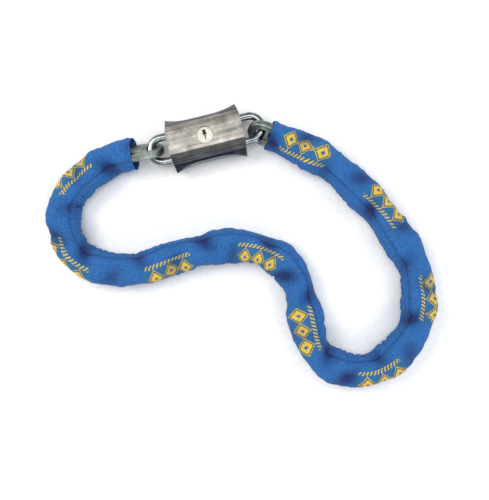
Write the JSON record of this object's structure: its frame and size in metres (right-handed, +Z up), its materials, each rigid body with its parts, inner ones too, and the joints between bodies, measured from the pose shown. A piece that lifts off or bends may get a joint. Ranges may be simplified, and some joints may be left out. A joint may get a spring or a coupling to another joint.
{
  "type": "chain lock",
  "caption": "Chain lock with a bow-tie steel lock body, two round-wire bows and a loop of square-section links in a soft fabric sleeve.",
  "frame": {"origin": "middle of the lock body's flat back face, on the surface it lies on", "axes": "+Z up through the keyhole face, +X along the lock body towards the bow that comes out, +Y away from the loop"},
  "size_m": [0.3937, 0.3306, 0.038],
  "materials": {
    "cover_steel": "fine brushed along the body",
    "shell_steel": "dark brushed",
    "core_zinc": "die-cast zinc",
    "bow_chrome": "bright polished",
    "link_zinc": "dull zinc plate",
    "nickel": "bright nickel",
    "pin_brass": "turned",
    "spring_steel": "oiled",
    "sleeve_fabric": null
  },
  "bodies": {
    "lock": {"rear_shell": "shell_steel", "front_cover": "cover_steel", "lock_core": "core_zinc", "body_rivet_left": "spring_steel", "body_rivet_right": "spring_steel", "fixed_bow": "bow_chrome", "retaining_pin_upper": "spring_steel", "retaining_pin_lower": "spring_steel", "cylinder_housing": "nickel", "pin_spring_1": "spring_steel", "pin_spring_2": "spring_steel", "pin_spring_3": "spring_steel", "pin_spring_4": "spring_steel", "fabric_sleeve": "sleeve_fabric"},
    "plug": {"cylinder_plug": "nickel", "plug_clip": "spring_steel", "scroll_cam": "spring_steel"},
    "upper_bolt": {"upper_bolt": "spring_steel"},
    "lower_bolt": {"lower_bolt": "spring_steel"},
    "key_pin_1": {"key_pin_1": "pin_brass"},
    "driver_pin_1": {"driver_pin_1": "spring_steel"},
    "key_pin_2": {"key_pin_2": "pin_brass"},
    "driver_pin_2": {"driver_pin_2": "spring_steel"},
    "key_pin_3": {"key_pin_3": "pin_brass"},
    "driver_pin_3": {"driver_pin_3": "spring_steel"},
    "key_pin_4": {"key_pin_4": "pin_brass"},
    "driver_pin_4": {"driver_pin_4": "spring_steel"},
    "link_01": {"chain_link_01": "link_zinc"},
    "link_02": {"chain_link_02": "link_zinc"},
    "link_03": {"chain_link_03": "link_zinc"},
    "link_04": {"chain_link_04": "link_zinc"},
    "link_05": {"chain_link_05": "link_zinc"},
    "link_06": {"chain_link_06": "link_zinc"},
    "link_07": {"chain_link_07": "link_zinc"},
    "link_08": {"chain_link_08": "link_zinc"},
    "link_09": {"chain_link_09": "link_zinc"},
    "link_10": {"chain_link_10": "link_zinc"},
    "link_11": {"chain_link_11": "link_zinc"},
    "link_12": {"chain_link_12": "link_zinc"},
    "link_13": {"chain_link_13": "link_zinc"},
    "link_14": {"chain_link_14": "link_zinc"},
    "link_15": {"chain_link_15": "link_zinc"},
    "link_16": {"chain_link_16": "link_zinc"},
    "link_17": {"chain_link_17": "link_zinc"},
    "link_18": {"chain_link_18": "link_zinc"},
    "link_19": {"chain_link_19": "link_zinc"},
    "link_20": {"chain_link_20": "link_zinc"},
    "link_21": {"chain_link_21": "link_zinc"},
    "link_22": {"chain_link_22": "link_zinc"},
    "link_23": {"chain_link_23": "link_zinc"},
    "link_24": {"chain_link_24": "link_zinc"},
    "link_25": {"chain_link_25": "link_zinc"},
    "link_26": {"chain_link_26": "link_zinc"},
    "link_27": {"chain_link_27": "link_zinc"},
    "link_28": {"chain_link_28": "link_zinc"},
    "removable_bow": {"removable_bow": "bow_chrome"}
  },
  "joints": [
    {"name": "key_turn", "type": "hinge", "parent": "lock", "child": "plug", "pos_m": [0, 0, 0.0265], "axis": [0, 0, 1], "range_deg": [0, 360]},
    {"name": "upper_bolt_slide", "type": "slide", "parent": "lock", "child": "upper_bolt", "axis": [0, 1, 0], "range_m": [0, 0.004]},
    {"name": "lower_bolt_slide", "type": "slide", "parent": "lock", "child": "lower_bolt", "axis": [0, -1, 0], "range_m": [0, 0.004]},
    {"name": "driver_pin_1_slide", "type": "slide", "parent": "lock", "child": "driver_pin_1", "axis": [0, 1, 0], "range_m": [0, 0.0012], "deforming": ["pin_spring_1"]},
    {"name": "key_pin_1_slide", "type": "slide", "parent": "plug", "child": "key_pin_1", "axis": [0, 1, 0], "range_m": [0, 0.0012]},
    {"name": "driver_pin_2_slide", "type": "slide", "parent": "lock", "child": "driver_pin_2", "axis": [0, 1, 0], "range_m": [0, 0.002], "deforming": ["pin_spring_2"]},
    {"name": "key_pin_2_slide", "type": "slide", "parent": "plug", "child": "key_pin_2", "axis": [0, 1, 0], "range_m": [0, 0.002]},
    {"name": "driver_pin_3_slide", "type": "slide", "parent": "lock", "child": "driver_pin_3", "axis": [0, 1, 0], "range_m": [0, 0.0016], "deforming": ["pin_spring_3"]},
    {"name": "key_pin_3_slide", "type": "slide", "parent": "plug", "child": "key_pin_3", "axis": [0, 1, 0], "range_m": [0, 0.0016]},
    {"name": "driver_pin_4_slide", "type": "slide", "parent": "lock", "child": "driver_pin_4", "axis": [0, 1, 0], "range_m": [0, 0.0024], "deforming": ["pin_spring_4"]},
    {"name": "key_pin_4_slide", "type": "slide", "parent": "plug", "child": "key_pin_4", "axis": [0, 1, 0], "range_m": [0, 0.0024]},
    {"name": "removable_bow_slide", "type": "slide", "parent": "lock", "child": "removable_bow", "axis": [1, 0, 0], "range_m": [0, 0.04], "deforming": ["fabric_sleeve"]},
    {"name": "chain_swing_05", "type": "hinge", "parent": "lock", "child": "link_05", "pos_m": [-0.09777, -0.00146, 0.0159], "axis": [0, 0, 1], "range_deg": [0, 4.37]},
    {"name": "chain_hinge_04", "type": "hinge", "parent": "link_05", "child": "link_04", "pos_m": [-0.17338, -0.04711, 0.0159], "axis": [0, 0, 1], "range_deg": [-0.015, 0]},
    {"name": "chain_hinge_03", "type": "hinge", "parent": "link_04", "child": "link_03", "pos_m": [-0.15484, -0.01846, 0.0159], "axis": [0, 0, 1], "range_deg": [-0.334, 0]},
    {"name": "chain_hinge_02", "type": "hinge", "parent": "link_03", "child": "link_02", "pos_m": [-0.12487, -0.00215, 0.0159], "axis": [0, 0, 1], "range_deg": [-1.29, 0]},
    {"name": "chain_hinge_01", "type": "hinge", "parent": "link_02", "child": "link_01", "pos_m": [-0.09145, 0.00474, 0.0159], "axis": [0, 0, 1], "range_deg": [-1.7, 0]},
    {"name": "chain_hinge_05", "type": "hinge", "parent": "link_05", "child": "link_06", "pos_m": [-0.17115, -0.08116, 0.0159], "axis": [0, 0, 1], "range_deg": [-1.35, 0]},
    {"name": "chain_hinge_06", "type": "hinge", "parent": "link_06", "child": "link_07", "pos_m": [-0.14865, -0.10681, 0.0159], "axis": [0, 0, 1], "range_deg": [-1.73, 0]},
    {"name": "chain_hinge_07", "type": "hinge", "parent": "link_07", "child": "link_08", "pos_m": [-0.11649, -0.11822, 0.0159], "axis": [0, 0, 1], "range_deg": [-1.28, 0]},
    {"name": "chain_swing_11", "type": "hinge", "parent": "lock", "child": "link_11", "pos_m": [0.13936, 0.21089, 0.0159], "axis": [0, 0, 1], "range_deg": [0, 1.38]},
    {"name": "chain_hinge_10", "type": "hinge", "parent": "link_11", "child": "link_10", "pos_m": [-0.01429, -0.11596, 0.0159], "axis": [0, 0, 1], "range_deg": [-1.31, 0]},
    {"name": "chain_hinge_09", "type": "hinge", "parent": "link_10", "child": "link_09", "pos_m": [-0.04841, -0.11532, 0.0159], "axis": [0, 0, 1], "range_deg": [-0.49, 0]},
    {"name": "chain_hinge_11", "type": "hinge", "parent": "link_11", "child": "link_12", "pos_m": [0.01899, -0.12349, 0.0159], "axis": [0, 0, 1], "range_deg": [0, 1.92]},
    {"name": "chain_hinge_12", "type": "hinge", "parent": "link_12", "child": "link_13", "pos_m": [0.04668, -0.14344, 0.0159], "axis": [0, 0, 1], "range_deg": [0, 1.9]},
    {"name": "chain_hinge_13", "type": "hinge", "parent": "link_13", "child": "link_14", "pos_m": [0.05958, -0.17502, 0.0159], "axis": [0, 0, 1], "range_deg": [0, 0.871]},
    {"name": "chain_swing_18", "type": "hinge", "parent": "lock", "child": "link_18", "pos_m": [0.13162, -0.67899, 0.0159], "axis": [0, 0, 1], "range_deg": [-2.93, 0]},
    {"name": "chain_hinge_17", "type": "hinge", "parent": "link_18", "child": "link_17", "pos_m": [0.10455, -0.28579, 0.0159], "axis": [0, 0, 1], "range_deg": [0, 2.69]},
    {"name": "chain_hinge_16", "type": "hinge", "parent": "link_17", "child": "link_16", "pos_m": [0.07284, -0.27317, 0.0159], "axis": [0, 0, 1], "range_deg": [0, 3.09]},
    {"name": "chain_hinge_15", "type": "hinge", "parent": "link_16", "child": "link_15", "pos_m": [0.05654, -0.2432, 0.0159], "axis": [0, 0, 1], "range_deg": [0, 2.39]},
    {"name": "chain_hinge_18", "type": "hinge", "parent": "link_18", "child": "link_19", "pos_m": [0.13816, -0.27987, 0.0159], "axis": [0, 0, 1], "range_deg": [-1.79, 0]},
    {"name": "chain_hinge_19", "type": "hinge", "parent": "link_19", "child": "link_20", "pos_m": [0.16538, -0.2593, 0.0159], "axis": [0, 0, 1], "range_deg": [-0.864, 0]},
    {"name": "chain_hinge_20", "type": "hinge", "parent": "link_20", "child": "link_21", "pos_m": [0.18193, -0.22945, 0.0159], "axis": [0, 0, 1], "range_deg": [-0.107, 0]},
    {"name": "chain_swing_25", "type": "hinge", "parent": "lock", "child": "link_25", "pos_m": [0.1192, -0.72499, 0.0159], "axis": [0, 0, 1], "range_deg": [-3.35, 0]},
    {"name": "chain_hinge_24", "type": "hinge", "parent": "link_25", "child": "link_24", "pos_m": [0.15165, -0.09995, 0.0159], "axis": [0, 0, 1], "range_deg": [-0.9, 0]},
    {"name": "chain_hinge_23", "type": "hinge", "parent": "link_24", "child": "link_23", "pos_m": [0.16675, -0.13055, 0.0159], "axis": [0, 0, 1], "range_deg": [-0.831, 0]},
    {"name": "chain_hinge_22", "type": "hinge", "parent": "link_23", "child": "link_22", "pos_m": [0.1795, -0.1622, 0.0159], "axis": [0, 0, 1], "range_deg": [-0.464, 0]},
    {"name": "chain_hinge_25", "type": "hinge", "parent": "link_25", "child": "link_26", "pos_m": [0.13326, -0.07121, 0.0159], "axis": [0, 0, 1], "range_deg": [0, 0.947]},
    {"name": "chain_hinge_26", "type": "hinge", "parent": "link_26", "child": "link_27", "pos_m": [0.1112, -0.04517, 0.0159], "axis": [0, 0, 1], "range_deg": [0, 0.764]},
    {"name": "chain_hinge_27", "type": "hinge", "parent": "link_27", "child": "link_28", "pos_m": [0.08435, -0.02412, 0.0159], "axis": [0, 0, 1], "range_deg": [0, 1.12]}
  ],
  "couplings": [
    {"joint": "upper_bolt_slide", "follows": "key_turn", "m_per_rad": 0.0006366},
    {"joint": "lower_bolt_slide", "follows": "key_turn", "m_per_rad": 0.0006366},
    {"joint": "driver_pin_1_slide", "follows": "driver_pin_4_slide", "ratio": 0.5},
    {"joint": "key_pin_1_slide", "follows": "driver_pin_4_slide", "ratio": 0.5},
    {"joint": "driver_pin_2_slide", "follows": "driver_pin_4_slide", "ratio": 0.83333},
    {"joint": "key_pin_2_slide", "follows": "driver_pin_4_slide", "ratio": 0.83333},
    {"joint": "driver_pin_3_slide", "follows": "driver_pin_4_slide", "ratio": 0.66666},
    {"joint": "key_pin_3_slide", "follows": "driver_pin_4_slide", "ratio": 0.66666},
    {"joint": "key_pin_4_slide", "follows": "driver_pin_4_slide", "ratio": 1},
    {"joint": "chain_swing_05", "follows": "removable_bow_slide", "rad_per_m": 1.9016},
    {"joint": "chain_hinge_04", "follows": "removable_bow_slide", "rad_per_m": -0.002282},
    {"joint": "chain_hinge_03", "follows": "removable_bow_slide", "rad_per_m": -0.14124},
    {"joint": "chain_hinge_02", "follows": "removable_bow_slide", "rad_per_m": -0.55899},
    {"joint": "chain_hinge_01", "follows": "removable_bow_slide", "rad_per_m": -0.73867},
    {"joint": "chain_hinge_05", "follows": "removable_bow_slide", "rad_per_m": -0.58532},
    {"joint": "chain_hinge_06", "follows": "removable_bow_slide", "rad_per_m": -0.74878},
    {"joint": "chain_hinge_07", "follows": "removable_bow_slide", "rad_per_m": -0.55501},
    {"joint": "chain_swing_11", "follows": "removable_bow_slide", "rad_per_m": 0.59799},
    {"joint": "chain_hinge_10", "follows": "removable_bow_slide", "rad_per_m": -0.56887},
    {"joint": "chain_hinge_09", "follows": "removable_bow_slide", "rad_per_m": -0.20939},
    {"joint": "chain_hinge_11", "follows": "removable_bow_slide", "rad_per_m": 0.83252},
    {"joint": "chain_hinge_12", "follows": "removable_bow_slide", "rad_per_m": 0.82494},
    {"joint": "chain_hinge_13", "follows": "removable_bow_slide", "rad_per_m": 0.37586},
    {"joint": "chain_swing_18", "follows": "removable_bow_slide", "rad_per_m": -1.2723},
    {"joint": "chain_hinge_17", "follows": "removable_bow_slide", "rad_per_m": 1.1676},
    {"joint": "chain_hinge_16", "follows": "removable_bow_slide", "rad_per_m": 1.3458},
    {"joint": "chain_hinge_15", "follows": "removable_bow_slide", "rad_per_m": 1.0401},
    {"joint": "chain_hinge_18", "follows": "removable_bow_slide", "rad_per_m": -0.77784},
    {"joint": "chain_hinge_19", "follows": "removable_bow_slide", "rad_per_m": -0.37262},
    {"joint": "chain_hinge_20", "follows": "removable_bow_slide", "rad_per_m": -0.042447},
    {"joint": "chain_swing_25", "follows": "removable_bow_slide", "rad_per_m": -1.4583},
    {"joint": "chain_hinge_24", "follows": "removable_bow_slide", "rad_per_m": -0.38851},
    {"joint": "chain_hinge_23", "follows": "removable_bow_slide", "rad_per_m": -0.35807},
    {"joint": "chain_hinge_22", "follows": "removable_bow_slide", "rad_per_m": -0.19827},
    {"joint": "chain_hinge_25", "follows": "removable_bow_slide", "rad_per_m": 0.40891},
    {"joint": "chain_hinge_26", "follows": "removable_bow_slide", "rad_per_m": 0.32907},
    {"joint": "chain_hinge_27", "follows": "removable_bow_slide", "rad_per_m": 0.48619}
  ]
}
